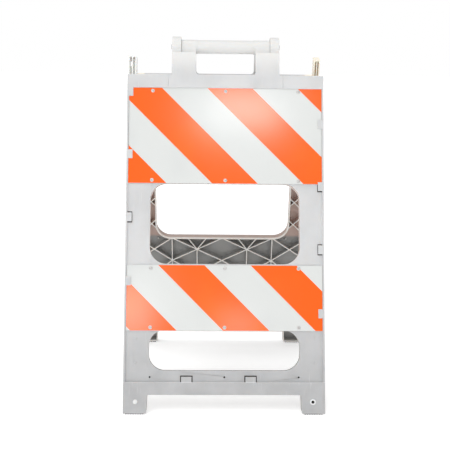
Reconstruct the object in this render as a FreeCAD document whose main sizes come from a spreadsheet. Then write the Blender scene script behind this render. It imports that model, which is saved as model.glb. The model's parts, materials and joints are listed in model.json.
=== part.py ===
"""Folding A-frame traffic barricade: two open-backed plastic leaves on one hinge rod.

The row frame has +Z up, the front leaf towards -Y and the origin on the floor under the hinge.
Each leaf is drawn shut, hanging straight down from the hinge axis, and then swung out by its
Placement. In that drawing "across" is measured along the hinge axis from the middle, "down" from the
hinge axis towards the feet, and "out" from the plane where the two shut leaves meet.
"""
import FreeCAD
import Part
import Sketcher
import math
import os
import re

SIZES = {
    # the stance
    "hinge_height": 1106.0,
    "tilt_angle": 16.2,
    # the leaf as a shell
    "leaf_width": 622.0,
    "leaf_inner": 1.0,
    "leaf_face": 36.5,
    "board_seat": 31.0,
    "skin_thickness": 3.5,
    "wall_thickness": 4.0,
    "rim_width": 5.5,
    # levels down the leaf, from the top and from the feet
    "shoulder_down": 100.0,
    "shoulder_height": 42.75,
    "foot_height": 56.4,
    "band_height": 38.8,
    "sill_height": 35.4,
    "slot_height": 123.5,
    "window_sill": 3.6,
    "opening_lap": 1.5,
    "stile_width": 76.5,
    "window_radius": 52.0,
    "slot_radius": 50.0,
    "foot_width": 74.0,
    "foot_draft": 3.0,
    # ribs inside the shell
    "rib_thickness": 3.0,
    "rib_setback": 3.0,
    "rail_column_inset": 131.0,
    "rail_cell_height": 92.0,
    "stile_rib_inset": 17.5,
    "stile_rib_pitch": 87.0,
    "stile_rib_start": 25.0,
    "short_rib_spread": 34.0,
    # handle, hinge and opening stop
    "handle_half": 95.0,
    "handle_corner": 11.0,
    "post_outer": 171.0,
    "post_top": 28.0,
    "bar_radius": 22.5,
    "bar_wall": 4.5,
    "bar_boss_length": 26.0,
    "bar_half": 141.5,
    "grip_waist": 0.9,
    "knuckle_radius": 32.0,
    "knuckle_gap": 0.6,
    "turning_clearance": 1.0,
    "heel_reach": 28.0,
    "heel_root": 10.0,
    "stop_clearance": 0.3,
    "rod_radius": 6.35,
    "running_clearance": 0.05,
    "cap_radius": 9.5,
    "cap_wall": 1.2,
    "rod_end": 2.4,
    # lamp bracket on one shoulder corner
    "bracket_inset": 2.5,
    "front_bracket_width": 26.0,
    "rear_bracket_width": 20.0,
    "bracket_top": 40.5,
    "lamp_slot_width": 5.0,
    "lamp_slot_height": 16.0,
    "lamp_slot_down": 15.0,
    # hooked clips that hold a board in the recess
    "clip_length": 28.0,
    "clip_reach": 14.0,
    "clip_pitch": 199.0,
    "clip_start": 13.5,
    "clip_margin": 3.0,
    "slot_floor": 0.8,
    "clip_clearance": 0.25,
    "sill_clip_width": 32.0,
    "sill_clip_height": 17.0,
    "left_sill_clip": 117.0,
    "right_sill_clip": 81.0,
    # rail boards and their sheeting
    "board_clearance": 0.7,
    "board_thickness": 2.5,
    "upper_board_height": 304.8,
    "lower_board_height": 203.2,
    "sheeting_margin": 0.6,
    "sheeting_thickness": 0.4,
    "stripe_film": 0.15,
    "stripe_width": 101.6,
    "upper_stripe_start": -40.0,
    "lower_stripe_start": 98.0,
    # rivets and pilot holes
    "rivet_column_inset": 81.0,
    "rivet_inset": 10.0,
    "rivet_radius": 2.4,
    "rivet_fit": 0.05,
    "rivet_head_radius": 5.5,
    "rivet_head_height": 1.7,
    "rivet_dome": 1.4,
    "rivet_tail_radius": 3.9,
    "rivet_tail_length": 5.0,
    "pilot_radius": 2.5,
    "pilot_rise": 15.2,
    "pilot_depth": 19.0,
    "pilot_boss_radius": 5.5,
    "pilot_boss_depth": 22.0,
    # feet
    "stud_inset": 38.0,
    "stud_rise": 36.0,
    "stud_radius": 7.0,
    "stud_height": 3.6,
    "stud_dome": 2.6,
    "socket_ring_radius": 9.5,
    "socket_ring_height": 1.2,
    "socket_radius": 4.3,
    "socket_depth": 14.0,
    "socket_boss_depth": 16.0,
    "ejector_mark_inset": 36.0,
    "upper_mark_rise": 230.0,
    "lower_mark_rise": 156.0,
    "ejector_mark_radius": 5.0,
    "ejector_mark_depth": 0.5,
    "foot_pad_width": 56.0,
    "foot_pad_depth": 34.0,
    "foot_pad_thickness": 3.0,
    "foot_pad_inset": 36.0,
    "bead_across": 182.0,
    "bead_width": 2.2,
    "bead_height": 0.6,
    "bead_margin": 3.0,
}

SIDE_CLIPS = 4
UPPER_RIB_ROWS = 3
STILE_RIB_PAIRS = 3
OVERLAP = "1"
BEYOND = "60"
SLIVER = 1.0
TOLERANCE = 0.01

# levels down the leaf, each written from the sizes above
TILT = "tilt_angle * 1 deg"
LEAF_HALF = "leaf_width / 2"
RECESS_HALF = "(leaf_width / 2 - rim_width)"
BOARD_HALF = f"({RECESS_HALF} - board_clearance)"
SHEETING_HALF = f"({BOARD_HALF} - sheeting_margin)"
SEAT_BACK = "(board_seat - skin_thickness)"
FACE_BACK = "(leaf_face - skin_thickness)"
OPENING_HALF = "(leaf_width / 2 - stile_width)"
FOOT_INNER = "(leaf_width / 2 - foot_width)"
SHOULDER = "shoulder_down"
UPPER_TOP = "(shoulder_down + shoulder_height)"
UPPER_BOTTOM = f"({UPPER_TOP} + upper_board_height)"
WINDOW_TOP = f"({UPPER_BOTTOM} - opening_lap)"
FOOT_LEVEL = f"((hinge_height - foot_pad_thickness) / cos({TILT}))"
FOOT_END = f"({FOOT_LEVEL} + leaf_face * tan({TILT}))"
CUTOUT = f"({FOOT_END} - foot_height)"
LEDGE = f"({CUTOUT} - band_height)"
SLOT_BOTTOM = f"({LEDGE} - sill_height)"
SLOT_TOP = f"({SLOT_BOTTOM} - slot_height)"
LOWER_BOTTOM = f"({SLOT_TOP} + opening_lap)"
LOWER_TOP = f"({LOWER_BOTTOM} - lower_board_height)"
WINDOW_BOTTOM = f"({LOWER_TOP} - window_sill)"
RAIL_RIB_TOP = f"({WINDOW_BOTTOM} + wall_thickness / 2)"
RAIL_RIB_MIDDLE = f"({RAIL_RIB_TOP} + rail_cell_height)"
RAIL_RIB_BOTTOM = f"({SLOT_TOP} - wall_thickness / 2)"
RIB_OUTER = "(leaf_width / 2 - wall_thickness / 2)"
BOARD_FACE = "(board_seat + board_thickness)"
SHEETING_FACE = f"({BOARD_FACE} + sheeting_thickness)"
STRIPE_FACE = f"({SHEETING_FACE} + stripe_film)"
CLIP_UNDERSIDE = f"({STRIPE_FACE} + clip_clearance)"
KNUCKLE_INNER = "(bar_half + knuckle_gap)"
CAP_INNER = "(post_outer + stop_clearance)"
ROD_HALF = f"({CAP_INNER} + rod_end)"
RIVET_SIDE = f"({LEAF_HALF} - rivet_column_inset)"
RIVET_COLUMNS = [f"-{RIVET_SIDE}", "0", RIVET_SIDE]
RIVET_HOLE = "rivet_radius + rivet_fit"

document = FreeCAD.newDocument("Barricade")
sheet = document.addObject("Spreadsheet::Sheet", "Sizes")
for row, (alias, number) in enumerate(SIZES.items(), start=1):
    sheet.set(f"A{row}", alias)
    sheet.set(f"B{row}", str(number))
    sheet.setAlias(f"B{row}", alias)
document.recompute()


def tied(text):
    """Return an expression that reads each size it names from the sheet."""
    return re.sub(r"[a-z_]{4,}", lambda word: f"Sizes.{word[0]}" if word[0] in SIZES else word[0], text)


def value(text):
    """Return what an expression comes to with the sheet as it stands."""
    return float(sheet.evalExpression(tied(text)))


def mirrored(text):
    """Return the same distance on the other side of the middle."""
    return f"-({text})"


class Profile:
    """A sketch on one of a body's own planes, with every point tied to the sheet."""

    def __init__(self, body, name, lift="0", plane="XZ_Plane"):
        origin = next(item for item in body.Origin.OriginFeatures if item.Role == plane)
        self.sketch = body.newObject("Sketcher::SketchObject", name)
        self.sketch.AttachmentSupport = [(origin, "")]
        self.sketch.MapMode = "FlatFace"
        self.sketch.setExpression(".AttachmentOffset.Base.z", tied(lift))

    def hold(self, kind, *target, size):
        """Add one dimension and tie it to the sheet."""
        index = self.sketch.addConstraint(Sketcher.Constraint(kind, *target, value(size)))
        self.sketch.setExpression(f"Constraints[{index}]", tied(size))

    def pin(self, item, end, across, down):
        """Fix a point by its distances from the origin."""
        self.hold("DistanceX", -1, 1, item, end, size=across)
        self.hold("DistanceY", -1, 1, item, end, size=f"-({down})")

    def polygon(self, corners):
        """Add a closed loop of straight edges through (across, down) corners."""
        places = [FreeCAD.Vector(value(across), -value(down), 0) for across, down in corners]
        following = places[1:] + places[:1]
        lines = [self.sketch.addGeometry(Part.LineSegment(*pair)) for pair in zip(places, following)]
        for line, after, (across, down) in zip(lines, lines[1:] + lines[:1], corners):
            self.sketch.addConstraint(Sketcher.Constraint("Coincident", line, 2, after, 1))
            self.pin(line, 1, across, down)
        return self

    def rectangle(self, left, right, top, bottom):
        """Add a closed upright rectangle."""
        return self.polygon([(left, top), (right, top), (right, bottom), (left, bottom)])

    def both_sides(self, inner, outer, top, bottom):
        """Add one rectangle on each side of the middle."""
        self.rectangle(inner, outer, top, bottom)
        return self.rectangle(mirrored(outer), mirrored(inner), top, bottom)

    def strip(self, start, end):
        """Add a sloping strip as wide as a rib, with upright ends."""
        run = f"(({end[0]}) - ({start[0]}))"
        fall = f"(({end[1]}) - ({start[1]}))"
        half = f"rib_thickness / 2 * sqrt(1 + ({fall} / {run})^2)"
        corners = [(start[0], f"({start[1]}) - {half}"), (end[0], f"({end[1]}) - {half}"),
                   (end[0], f"({end[1]}) + {half}"), (start[0], f"({start[1]}) + {half}")]
        return self.polygon(corners)

    def rounded(self, half, top, bottom, radius):
        """Add a rectangle about the middle whose corners are arcs."""
        x, r = value(half), value(radius)
        high, low = -value(top), -value(bottom)
        centres = [(x - r, high - r), (x - r, low + r), (r - x, low + r), (r - x, high - r)]
        arcs = []
        for quarter, (across, up) in enumerate(centres):
            turn = -quarter * math.pi / 2
            circle = Part.Circle(FreeCAD.Vector(across, up, 0), FreeCAD.Vector(0, 0, 1), r)
            arcs.append(self.sketch.addGeometry(Part.ArcOfCircle(circle, turn, turn + math.pi / 2)))
        ends = [((x, high - r), (x, low + r)), ((x - r, low), (r - x, low)),
                ((-x, low + r), (-x, high - r)), ((r - x, high), (x - r, high))]
        spans = [(FreeCAD.Vector(*start, 0), FreeCAD.Vector(*end, 0)) for start, end in ends]
        lines = [self.sketch.addGeometry(Part.LineSegment(*span)) for span in spans]
        for index, line in enumerate(lines):
            upright = "Vertical" if index % 2 == 0 else "Horizontal"
            self.sketch.addConstraint(Sketcher.Constraint("Tangent", arcs[index], 1, line, 1))
            self.sketch.addConstraint(Sketcher.Constraint("Tangent", line, 2, arcs[(index + 1) % 4], 2))
            self.sketch.addConstraint(Sketcher.Constraint(upright, line))
        for arc in arcs[1:]:
            self.sketch.addConstraint(Sketcher.Constraint("Equal", arcs[0], arc))
        self.hold("Radius", arcs[0], size=radius)
        self.hold("DistanceX", -1, 1, lines[0], 1, size=half)
        self.hold("DistanceX", -1, 1, lines[2], 1, size=mirrored(half))
        self.hold("DistanceY", -1, 1, lines[1], 1, size=mirrored(bottom))
        self.hold("DistanceY", -1, 1, lines[3], 1, size=mirrored(top))
        return self

    def circle(self, across, down, radius):
        """Add a circle."""
        centre = FreeCAD.Vector(value(across), -value(down), 0)
        item = self.sketch.addGeometry(Part.Circle(centre, FreeCAD.Vector(0, 0, 1), value(radius)))
        self.pin(item, 3, across, down)
        self.hold("Radius", item, size=radius)
        return self

    def grid(self, columns, rows, radius):
        """Add a circle at every crossing of the columns and rows."""
        for across in columns:
            for down in rows:
                self.circle(across, down, radius)
        return self


def new_body(label):
    """Add an empty body under its own label."""
    body = document.addObject("PartDesign::Body", label)
    body.Label = label
    return body


def pad(body, profile, length, midplane=False):
    """Raise a profile outwards by a length."""
    feature = body.newObject("PartDesign::Pad", f"{profile.sketch.Name}_pad")
    feature.Profile = profile.sketch
    feature.Midplane = midplane
    feature.Refine = False
    feature.setExpression("Length", tied(length))
    return feature


def pocket(body, profile, depth, midplane=False):
    """Cut a profile inwards by a depth."""
    feature = body.newObject("PartDesign::Pocket", f"{profile.sketch.Name}_pocket")
    feature.Profile = profile.sketch
    feature.Midplane = midplane
    feature.Refine = False
    feature.setExpression("Length", tied(depth))
    return feature


def fillet(body, radius, wanted):
    """Round every edge of the body's last feature that the test picks."""
    document.recompute()
    base = body.Tip
    picked = [f"Edge{index}" for index, edge in enumerate(base.Shape.Edges, start=1) if wanted(edge)]
    feature = body.newObject("PartDesign::Fillet", f"{base.Name}_fillet")
    feature.Base = (base, picked)
    feature.setExpression("Radius", tied(radius))
    return feature


def lies_at(out):
    """Return a test that picks the edges lying flat at one distance out."""
    level = -value(out)
    return lambda edge: (abs(edge.BoundBox.YMin - level) < TOLERANCE
                         and abs(edge.BoundBox.YMax - level) < TOLERANCE)


def layer(body, name, bottom, top):
    """Return a profile at one distance out and the depth from it to another, for pads and pockets."""
    return Profile(body, name, lift=bottom), f"({top}) - ({bottom})"


def leaf_outline(body):
    """The solid block that the shell is cut from, with the two handle posts."""
    half = [
        ("handle_half", SHOULDER), ("handle_half", "post_top"), ("post_outer", "post_top"),
        ("post_outer", SHOULDER), (LEAF_HALF, SHOULDER), (LEAF_HALF, FOOT_END),
        (f"{FOOT_INNER} + foot_draft", FOOT_END), (FOOT_INNER, CUTOUT)]
    other = [(mirrored(across), down) for across, down in reversed(half)]
    profile, length = layer(body, "outline", "leaf_inner", "leaf_face")
    profile.polygon(half + other)
    pad(body, profile, length)

    def handle_corner(edge):
        middle = edge.CenterOfMass
        square = abs(edge.BoundBox.YLength - edge.Length) < TOLERANCE
        beside = abs(abs(middle.x) - value("handle_half")) < TOLERANCE
        return square and beside and abs(middle.z + value(SHOULDER)) < TOLERANCE

    fillet(body, "handle_corner", handle_corner)


def leaf_cavity(body):
    """The hollow behind the skin, deeper behind the shoulder, the bottom band and the posts."""
    half = [
        (f"{LEAF_HALF} - wall_thickness", f"{SHOULDER} + wall_thickness"),
        (f"{LEAF_HALF} - wall_thickness", f"{FOOT_LEVEL} - wall_thickness"),
        (f"{FOOT_INNER} + foot_draft + wall_thickness", f"{FOOT_LEVEL} - wall_thickness"),
        (f"{FOOT_INNER} + wall_thickness", f"{CUTOUT} - wall_thickness")]
    other = [(mirrored(across), down) for across, down in reversed(half)]
    hollow = Profile(body, "hollow", lift=SEAT_BACK)
    hollow.polygon(half + other)
    for top, bottom, radius in ((WINDOW_TOP, WINDOW_BOTTOM, "window_radius"),
                                (SLOT_TOP, SLOT_BOTTOM, "slot_radius")):
        hollow.rounded(f"{OPENING_HALF} + wall_thickness", f"{top} - wall_thickness",
                       f"{bottom} + wall_thickness", f"{radius} + wall_thickness")
    pocket(body, hollow, f"{SEAT_BACK} - leaf_inner + {OVERLAP}")
    deep = Profile(body, "deep_hollow", lift=FACE_BACK)
    inside = f"{LEAF_HALF} - wall_thickness"
    deep.rectangle(mirrored(inside), inside, f"{SHOULDER} + wall_thickness", f"{UPPER_TOP} - wall_thickness")
    deep.rectangle(mirrored(inside), inside, f"{LEDGE} + wall_thickness", f"{CUTOUT} - wall_thickness")
    deep.both_sides("handle_half + wall_thickness", "post_outer - wall_thickness",
                    "post_top + wall_thickness", SHOULDER)
    pocket(body, deep, f"{FACE_BACK} - leaf_inner + {OVERLAP}")


def rib_layer(body, name):
    """Return a profile at the ribs' free edge and the height from there to the skin."""
    return layer(body, name, "leaf_inner + rib_setback", SEAT_BACK)


def crossed_ribs(body, name, rows):
    """X ribs in rows that don't meet, each row given as its column edges, its top and its bottom."""
    for slope in ("falling", "rising"):
        profile, height = rib_layer(body, f"{name}_{slope}")
        for columns, top, bottom in rows:
            first, second = (top, bottom) if slope == "falling" else (bottom, top)
            for left, right in zip(columns, columns[1:]):
                profile.strip((left, first), (right, second))
        pad(body, profile, height)


def stile_ribs(body, starts):
    """Ribs at 45 degrees that cross a little way in from the window and the slot."""
    inner = f"({OPENING_HALF} + wall_thickness / 2)"
    span = f"({RIB_OUTER} - {inner})"
    cross = "(stile_rib_inset - wall_thickness / 2)"
    for slope, before, after in (("falling", f"- {cross}", f"+ {span} - {cross}"),
                                 ("rising", f"+ {cross}", f"- {span} + {cross}")):
        profile, height = rib_layer(body, f"stile_ribs_{slope}")
        for start in starts:
            first, last = f"{start} {before}", f"{start} {after}"
            profile.strip((inner, first), (RIB_OUTER, last))
            profile.strip((mirrored(RIB_OUTER), last), (mirrored(inner), first))
        pad(body, profile, height)


def leaf_ribs(body):
    """All the ribs behind the skin."""
    cell, middle = f"({LEAF_HALF} - rail_column_inset)", f"({RAIL_RIB_TOP} + rail_cell_height / 2)"
    upper_columns = [mirrored(RIB_OUTER), f"-{cell} / 2", f"{cell} / 2", RIB_OUTER]
    lower_columns = [mirrored(RIB_OUTER), f"-{cell}", "0", cell, RIB_OUTER]
    upper_step = f"(({WINDOW_TOP} - wall_thickness / 2 - {UPPER_TOP}) / {UPPER_RIB_ROWS})"
    levels = [f"({UPPER_TOP} + {step} * {upper_step})" for step in range(UPPER_RIB_ROWS + 1)]
    upper_rows = [(upper_columns, *pair) for pair in zip(levels, levels[1:])]
    rail_row = (lower_columns, RAIL_RIB_TOP, RAIL_RIB_MIDDLE)
    lower_row = (lower_columns, RAIL_RIB_MIDDLE, RAIL_RIB_BOTTOM)
    band_row = (lower_columns, f"({SLOT_BOTTOM} + wall_thickness / 2)", f"({CUTOUT} - wall_thickness / 2)")
    crossed_ribs(body, "odd_ribs", [*upper_rows[0::2], rail_row, band_row])
    crossed_ribs(body, "even_ribs", [*upper_rows[1::2], lower_row])
    window_starts = [f"({WINDOW_TOP} + stile_rib_start + {step} * stile_rib_pitch)"
                     for step in range(STILE_RIB_PAIRS)]
    stile_ribs(body, [*window_starts, f"(({SLOT_TOP} + {SLOT_BOTTOM}) / 2)"])
    upright, height = rib_layer(body, "upright_ribs")
    half_rib = "rib_thickness / 2"
    upright.both_sides(f"{cell} - {half_rib}", f"{cell} + {half_rib}", RAIL_RIB_TOP, RAIL_RIB_BOTTOM)
    upright.both_sides(f"{cell} / 2 - {half_rib}", f"{cell} / 2 + {half_rib}", middle, RAIL_RIB_BOTTOM)
    pad(body, upright, height)
    for slope, lean in (("left", "-1"), ("right", "1")):
        profile, height = rib_layer(body, f"short_ribs_{slope}")
        for side in ("-1", "1"):
            root = f"({side} * {cell} / 2)"
            profile.strip((f"{root} + {lean} * short_rib_spread", RAIL_RIB_TOP), (root, middle))
        pad(body, profile, height)


def leaf_openings(body):
    """The window, the lower slot and the recess that the boards lie in."""
    through = Profile(body, "openings", lift="leaf_face")
    through.rounded(OPENING_HALF, WINDOW_TOP, WINDOW_BOTTOM, "window_radius")
    through.rounded(OPENING_HALF, SLOT_TOP, SLOT_BOTTOM, "slot_radius")
    pocket(body, through, "leaf_face")
    recess = Profile(body, "recess", lift="leaf_face")
    recess.rectangle(mirrored(RECESS_HALF), RECESS_HALF, UPPER_TOP, LEDGE)
    pocket(body, recess, "leaf_face - board_seat")


def clip_boxes():
    """Return each clip as (left, right, top, bottom) and the slot that is moulded behind it."""
    boxes = []
    for index in range(2 * SIDE_CLIPS):
        centre = f"({UPPER_TOP} + clip_start + {index} * clip_pitch / 2)"
        top, bottom = f"{centre} - clip_length / 2", f"{centre} + clip_length / 2"
        edges = [f"{RECESS_HALF} - clip_reach", f"{RECESS_HALF} + {OVERLAP}"]
        slot_edges = [f"{RECESS_HALF} - clip_reach - {OVERLAP}", RECESS_HALF]
        if index % 2 == 0:
            edges = [mirrored(edge) for edge in reversed(edges)]
            slot_edges = [mirrored(edge) for edge in reversed(slot_edges)]
        slot_top = UPPER_TOP if index == 0 else f"{top} - clip_margin"
        boxes.append(((*edges, top, bottom), (*slot_edges, slot_top, f"{bottom} + clip_margin")))
    for centre in ("-left_sill_clip", "right_sill_clip"):
        left, right = f"{centre} - sill_clip_width / 2", f"{centre} + sill_clip_width / 2"
        top = f"{LEDGE} - sill_clip_height"
        boxes.append(((left, right, top, f"{LEDGE} + {OVERLAP}"),
                      (f"{left} - clip_margin", f"{right} + clip_margin", f"{top} - clip_margin", LEDGE)))
    return boxes


def leaf_clips(body):
    """The hooked clips, each over a slot that leaves only a thin floor of skin."""
    boxes = clip_boxes()
    slots = Profile(body, "clip_slots", lift="board_seat")
    for _, slot in boxes:
        slots.rectangle(*slot)
    pocket(body, slots, "skin_thickness - slot_floor")
    hooks, thickness = layer(body, "clips", CLIP_UNDERSIDE, "leaf_face")
    for hook, _ in boxes:
        hooks.rectangle(*hook)
    pad(body, hooks, thickness)


def rivet_grid(top, bottom):
    """Return the columns and rows of one board's rivets."""
    return RIVET_COLUMNS, [f"{top} + rivet_inset", f"{bottom} - rivet_inset"]


def leaf_holes(body):
    """Rivet holes in the board seat, the row of pilot bosses for a third rail and the ejector marks."""
    rivet_holes = Profile(body, "rivet_holes", lift="board_seat")
    for top, bottom in ((UPPER_TOP, UPPER_BOTTOM), (LOWER_TOP, LOWER_BOTTOM)):
        rivet_holes.grid(*rivet_grid(top, bottom), RIVET_HOLE)
    pocket(body, rivet_holes, f"skin_thickness + {OVERLAP}")
    pilot_level = [f"{LEDGE} - pilot_rise"]
    bosses, height = layer(body, "pilot_bosses", "board_seat - pilot_boss_depth", SEAT_BACK)
    bosses.grid(RIVET_COLUMNS, pilot_level, "pilot_boss_radius")
    pad(body, bosses, height)
    pilots = Profile(body, "pilot_holes", lift="board_seat")
    pilots.grid(RIVET_COLUMNS, pilot_level, "pilot_radius")
    pocket(body, pilots, "pilot_depth")
    marks = Profile(body, "ejector_marks", lift="board_seat")
    across = f"({LEAF_HALF} - ejector_mark_inset)"
    marks.grid([mirrored(across), across],
               [f"{FOOT_END} - upper_mark_rise", f"{FOOT_END} - lower_mark_rise"], "ejector_mark_radius")
    pocket(body, marks, "ejector_mark_depth")


def leaf_feet(body):
    """The stud and the socket that stacked barricades nest with, and the sole cut level with the floor."""
    level = f"{FOOT_END} - stud_rise"
    stud, height = layer(body, "nesting_stud", f"leaf_face - {OVERLAP}", "leaf_face + stud_height")
    stud.circle(f"-({LEAF_HALF} - stud_inset)", level, "stud_radius")
    pad(body, stud, height)
    fillet(body, "stud_dome", lies_at("leaf_face + stud_height"))
    ring, height = layer(body, "socket_ring", f"leaf_face - {OVERLAP}", "leaf_face + socket_ring_height")
    ring.circle(f"{LEAF_HALF} - stud_inset", level, "socket_ring_radius")
    pad(body, ring, height)
    boss, height = layer(body, "socket_boss", "leaf_face - socket_boss_depth", FACE_BACK)
    boss.circle(f"{LEAF_HALF} - stud_inset", level, "socket_ring_radius")
    pad(body, boss, height)
    hole = Profile(body, "socket_hole", lift="leaf_face + socket_ring_height")
    hole.circle(f"{LEAF_HALF} - stud_inset", level, "socket_radius")
    pocket(body, hole, "socket_depth")
    sole = Profile(body, "sole", plane="YZ_Plane")
    floor = [(out, f"{FOOT_LEVEL} - ({out}) * tan({TILT})") for out in (f"-leaf_face - {BEYOND}", BEYOND)]
    sole.polygon([floor[0], floor[1], (BEYOND, f"{FOOT_END} + {BEYOND}"),
                  (f"-leaf_face - {BEYOND}", f"{FOOT_END} + {BEYOND}")])
    pocket(body, sole, f"leaf_width + {BEYOND}", midplane=True)


def leaf_beads(body):
    """Two thin upright beads on the shoulder."""
    beads, height = layer(body, "beads", f"leaf_face - {OVERLAP}", "leaf_face + bead_height")
    beads.both_sides("bead_across - bead_width / 2", "bead_across + bead_width / 2",
                     f"{SHOULDER} + bead_margin", f"{UPPER_TOP} - bead_margin")
    pad(body, beads, height)


def lamp_bracket(body, width):
    """The upright on one shoulder that a warning lamp bolts to: a slotted web, ribbed on both faces."""
    left = f"(-({LEAF_HALF}) + bracket_inset)"
    right = f"({left} + {width})"
    block, height = layer(body, "lamp_bracket", "leaf_inner", "leaf_face")
    block.rectangle(left, right, "bracket_top", f"{SHOULDER} + {OVERLAP}")
    pad(body, block, height)
    middle = f"(({left} + {right}) / 2)"
    cell_depth = "((leaf_face - leaf_inner - skin_thickness) / 2)"
    for face, lift in (("back", f"leaf_inner + {cell_depth}"), ("front", "leaf_face")):
        hollow = Profile(body, f"lamp_cells_{face}", lift=lift)
        for inner, outer in ((f"{left} + wall_thickness", f"{middle} - rib_thickness / 2"),
                             (f"{middle} + rib_thickness / 2", f"{right} - wall_thickness")):
            hollow.rectangle(inner, outer, "bracket_top + wall_thickness", SHOULDER)
        pocket(body, hollow, cell_depth)
    slot = Profile(body, "lamp_slot", lift=f"leaf_face - {cell_depth}")
    slot_centre = f"(({left} + wall_thickness + {middle} - rib_thickness / 2) / 2)"
    slot.rectangle(f"{slot_centre} - lamp_slot_width / 2", f"{slot_centre} + lamp_slot_width / 2",
                   "bracket_top + lamp_slot_down", "bracket_top + lamp_slot_down + lamp_slot_height")
    pocket(body, slot, "skin_thickness")


def side_profile(body, name, across):
    """Return a profile square to the hinge axis at one place along it."""
    return Profile(body, name, lift=across, plane="YZ_Plane")


def carry_bar(body):
    """The round bar between the posts, on the front leaf, with room beside it for the knuckles."""
    for side, start in (("left", f"-post_outer - {OVERLAP}"), ("right", "bar_half")):
        scallop = side_profile(body, f"knuckle_room_{side}", start)
        scallop.circle("0", "0", "knuckle_radius + turning_clearance")
        cut = pocket(body, scallop, f"post_outer - bar_half + {OVERLAP}")
        cut.Reversed = True
    for side, left, right in (("left", "-bar_half", "-handle_half"), ("right", "handle_half", "bar_half")):
        neck, depth = layer(body, f"neck_{side}", "leaf_inner", f"bar_radius - {OVERLAP}")
        neck.rectangle(left, right, "0", "post_top + wall_thickness")
        pad(body, neck, depth)
    bar = side_profile(body, "bar", "0").circle("0", "0", "bar_radius")
    pad(body, bar, "2 * bar_half", midplane=True)
    waist = side_profile(body, "grip", "0")
    waist.circle("0", "0", f"bar_radius + {OVERLAP}").circle("0", "0", "bar_radius - grip_waist")
    pocket(body, waist, "2 * (handle_half - handle_corner / 2)", midplane=True)
    core = side_profile(body, "bar_core", "0").circle("0", "0", "bar_radius - grip_waist - bar_wall")
    pocket(body, core, "2 * (bar_half - bar_boss_length)", midplane=True)
    bore = side_profile(body, "bar_bore", "0").circle("0", "0", "rod_radius + running_clearance")
    pocket(body, bore, f"2 * (bar_half + {OVERLAP})", midplane=True)


def turned_back(out, down):
    """Return a point of the open front leaf as it lies on the rear leaf's own drawing."""
    angle = f"(2 * {TILT})"
    return (f"({out}) * cos{angle} + ({down}) * sin{angle}", f"({down}) * cos{angle} - ({out}) * sin{angle}")


def knuckles(body):
    """The two hinge knuckles of the rear leaf, each with the heel that stops the opening."""
    width = f"(post_outer - {KNUCKLE_INNER})"
    for side, start, left, right in (("left", "-post_outer", "-post_outer", f"-{KNUCKLE_INNER}"),
                                     ("right", KNUCKLE_INNER, KNUCKLE_INNER, "post_outer")):
        neck, depth = layer(body, f"neck_{side}", "leaf_inner", f"knuckle_radius - {OVERLAP}")
        neck.rectangle(left, right, "0", "post_top + wall_thickness")
        pad(body, neck, depth)
        drum = side_profile(body, f"knuckle_{side}", start).circle("0", "0", "knuckle_radius")
        pad(body, drum, width)
        heel = side_profile(body, f"heel_{side}", start)
        underside = "post_top - stop_clearance"
        heel.polygon([("0", "0"), turned_back("heel_reach", "heel_root"),
                      turned_back("heel_reach", underside), turned_back("heel_root", underside)])
        pad(body, heel, width)
    bore = side_profile(body, "knuckle_bore", "0").circle("0", "0", "rod_radius + running_clearance")
    pocket(body, bore, f"2 * (post_outer + {OVERLAP})", midplane=True)


def place_leaf(body, front):
    """Swing a shut leaf out to its place."""
    body.setExpression(".Placement.Base.z", tied("hinge_height"))
    tilt = "-tilt_angle" if front else "tilt_angle"
    turn = FreeCAD.Rotation() if front else FreeCAD.Rotation(FreeCAD.Vector(0, 0, 1), 180)
    swing = FreeCAD.Rotation(FreeCAD.Vector(1, 0, 0), value(tilt))
    body.Placement = FreeCAD.Placement(FreeCAD.Vector(0, 0, value("hinge_height")), swing * turn)


def leaf_moulding(side, front):
    """One leaf: the whole injection moulding."""
    body = new_body(f"{side}_leaf_moulding")
    leaf_outline(body)
    leaf_cavity(body)
    leaf_openings(body)
    leaf_clips(body)
    leaf_holes(body)
    leaf_feet(body)
    leaf_beads(body)
    lamp_bracket(body, "front_bracket_width" if front else "rear_bracket_width")
    if front:
        carry_bar(body)
    else:
        knuckles(body)
    leaf_ribs(body)
    place_leaf(body, front)
    return body


def flat_sheet(label, front, half, top, bottom, back, face, holes):
    """One flat sheet with its rivet holes."""
    body = new_body(label)
    profile, thickness = layer(body, f"{label}_sheet", back, face)
    profile.rectangle(mirrored(half), half, top, bottom)
    profile.grid(*holes, RIVET_HOLE)
    pad(body, profile, thickness)
    place_leaf(body, front)
    return body


def stripe_film(label, front, start, top, bottom, holes):
    """The orange film: parallel stripes at 45 degrees, trimmed at the sheeting's sides."""
    body = new_body(label)
    width = "(stripe_width * sqrt(2))"
    fall = f"(({bottom}) - ({top}))"
    edge = f"(-{BOARD_HALF} + {start})"
    first = -math.ceil((value(start) + value(fall)) / (2 * value(width)))
    last = math.floor((2 * value(BOARD_HALF) - value(start)) / (2 * value(width)))
    stripes, thickness = layer(body, f"{label}_stripes", SHEETING_FACE, STRIPE_FACE)
    for index in range(first, last + 1):
        left = f"({edge} + {2 * index} * {width})"
        if value(f"{left} + {width} + {fall} + {SHEETING_HALF}") < SLIVER:
            continue
        stripes.polygon([(left, top), (f"{left} + {width}", top),
                         (f"{left} + {width} + {fall}", bottom), (f"{left} + {fall}", bottom)])
    pad(body, stripes, thickness)
    trim = Profile(body, f"{label}_trim", lift=STRIPE_FACE)
    trim.both_sides(SHEETING_HALF, f"2 * {BOARD_HALF} + {fall}",
                    f"{top} - {OVERLAP}", f"{bottom} + {OVERLAP}")
    pocket(body, trim, "stripe_film")
    punched = Profile(body, f"{label}_holes", lift=STRIPE_FACE)
    punched.grid(*holes, RIVET_HOLE)
    pocket(body, punched, "stripe_film")
    place_leaf(body, front)
    return body


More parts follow.
